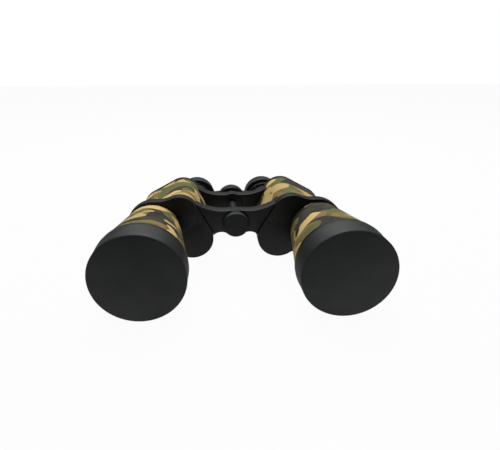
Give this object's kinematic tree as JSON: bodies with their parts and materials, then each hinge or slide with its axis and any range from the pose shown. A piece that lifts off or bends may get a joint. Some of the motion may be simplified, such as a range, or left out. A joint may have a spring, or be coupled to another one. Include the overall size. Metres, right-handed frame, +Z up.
{
  "type": "porro prism binoculars",
  "caption": "Porro-prism binoculars in camouflage wrap with push-on objective caps, centre focusing wheel, dioptre ring and a hinge that sets the eye spacing.",
  "frame": {"origin": "centre of the footprint, on the surface the part rests on", "axes": "+X to the right as seen from the objective end, -Y towards the objectives, +Z up; the hinge axis is parallel to Y"},
  "size_m": [0.1948, 0.1686, 0.0626],
  "materials": {
    "casting": "satin black enamel on die-cast aluminium",
    "cover": "satin black enamel",
    "barrel_alloy": "turned, black inside",
    "black_alloy": "black anodised",
    "camo_wrap": "camouflage printed leathercloth",
    "brass_ring": "turned",
    "coated_glass": "polished, coated",
    "prism_glass": "polished faces",
    "spring_steel": "bare spring steel",
    "screw_steel": "blackened steel",
    "axle_steel": "turned steel",
    "hinge_cap_plastic": "matte moulded",
    "cap_rubber": "matte moulded rubber",
    "eyecup_rubber": "matte moulded rubber",
    "grip_rubber": "ribbed rubber"
  },
  "bodies": {
    "left_half": {"left_housing": "casting", "left_front_cover": "cover", "left_rear_cover": "cover", "left_body_wrap": "camo_wrap", "left_barrel": "barrel_alloy", "left_barrel_wrap": "camo_wrap", "left_barrel_lock_ring": "brass_ring", "left_bezel": "cover", "left_crown_lens": "coated_glass", "left_flint_lens": "coated_glass", "left_lens_retainer": "black_alloy", "left_front_prism": "prism_glass", "left_rear_prism": "prism_glass", "left_prism_clips": "spring_steel", "left_eyepiece_socket": "cover", "left_cover_screws": "screw_steel", "left_strap_lug": "screw_steel", "hinge_axle": "axle_steel", "hinge_nut": "axle_steel"},
    "right_half": {"right_housing": "casting", "right_front_cover": "cover", "right_rear_cover": "cover", "right_body_wrap": "camo_wrap", "right_barrel": "barrel_alloy", "right_barrel_wrap": "camo_wrap", "right_barrel_lock_ring": "brass_ring", "right_bezel": "cover", "right_crown_lens": "coated_glass", "right_flint_lens": "coated_glass", "right_lens_retainer": "black_alloy", "right_front_prism": "prism_glass", "right_rear_prism": "prism_glass", "right_prism_clips": "spring_steel", "right_eyepiece_socket": "cover", "right_cover_screws": "screw_steel", "right_strap_lug": "screw_steel"},
    "left_cap": {"left_objective_cap": "cap_rubber"},
    "right_cap": {"right_objective_cap": "cap_rubber"},
    "hinge_cap": {"hinge_cap": "hinge_cap_plastic"},
    "focus_wheel": {"focus_wheel": "black_alloy", "focus_wheel_grip": "grip_rubber"},
    "left_ocular": {"left_ocular_barrel": "black_alloy", "left_field_lens": "coated_glass", "left_eye_lens": "coated_glass", "left_field_stop": "black_alloy", "left_eyecup": "eyecup_rubber", "left_ocular_arm": "casting", "focus_spindle": "axle_steel", "spindle_nut": "screw_steel"},
    "right_ocular_arm": {"right_ocular_arm": "casting"},
    "diopter_ring": {"diopter_ring": "cover"},
    "right_ocular": {"right_ocular_barrel": "black_alloy", "right_field_lens": "coated_glass", "right_eye_lens": "coated_glass", "right_field_stop": "black_alloy", "right_eyecup": "eyecup_rubber"}
  },
  "joints": [
    {"name": "interpupillary_hinge", "type": "hinge", "parent": "left_half", "child": "right_half", "pos_m": [0, 0.0157, 0.0362], "axis": [0, 1, 0], "range_deg": [-6, 50]},
    {"name": "left_cap_pull", "type": "slide", "parent": "left_half", "child": "left_cap", "axis": [0, -1, 0], "range_m": [0, 0.03]},
    {"name": "right_cap_pull", "type": "slide", "parent": "right_half", "child": "right_cap", "axis": [0, -1, 0], "range_m": [0, 0.03]},
    {"name": "hinge_cap_pull", "type": "slide", "parent": "left_half", "child": "hinge_cap", "axis": [0, -1, 0], "range_m": [0, 0.03]},
    {"name": "focus_turn", "type": "hinge", "parent": "left_half", "child": "focus_wheel", "pos_m": [0, 0.0457, 0.0362], "axis": [0, 1, 0], "range_deg": [-270, 270]},
    {"name": "left_focus_slide", "type": "slide", "parent": "left_half", "child": "left_ocular", "axis": [0, 1, 0], "range_m": [-0.003, 0.003]},
    {"name": "right_focus_slide", "type": "slide", "parent": "right_half", "child": "right_ocular_arm", "axis": [0, 1, 0], "range_m": [-0.003, 0.003]},
    {"name": "diopter_turn", "type": "hinge", "parent": "right_ocular_arm", "child": "diopter_ring", "pos_m": [0.034, 0.0657, 0.0292], "axis": [0, 1, 0], "range_deg": [-60, 60]},
    {"name": "right_diopter_slide", "type": "slide", "parent": "diopter_ring", "child": "right_ocular", "axis": [0, 1, 0], "range_m": [-0.001, 0.001]}
  ],
  "couplings": [
    {"joint": "focus_turn", "follows": "left_focus_slide", "rad_per_m": 1570.6},
    {"joint": "right_focus_slide", "follows": "left_focus_slide", "ratio": 1},
    {"joint": "right_diopter_slide", "follows": "diopter_turn", "m_per_rad": 0.00095483}
  ]
}
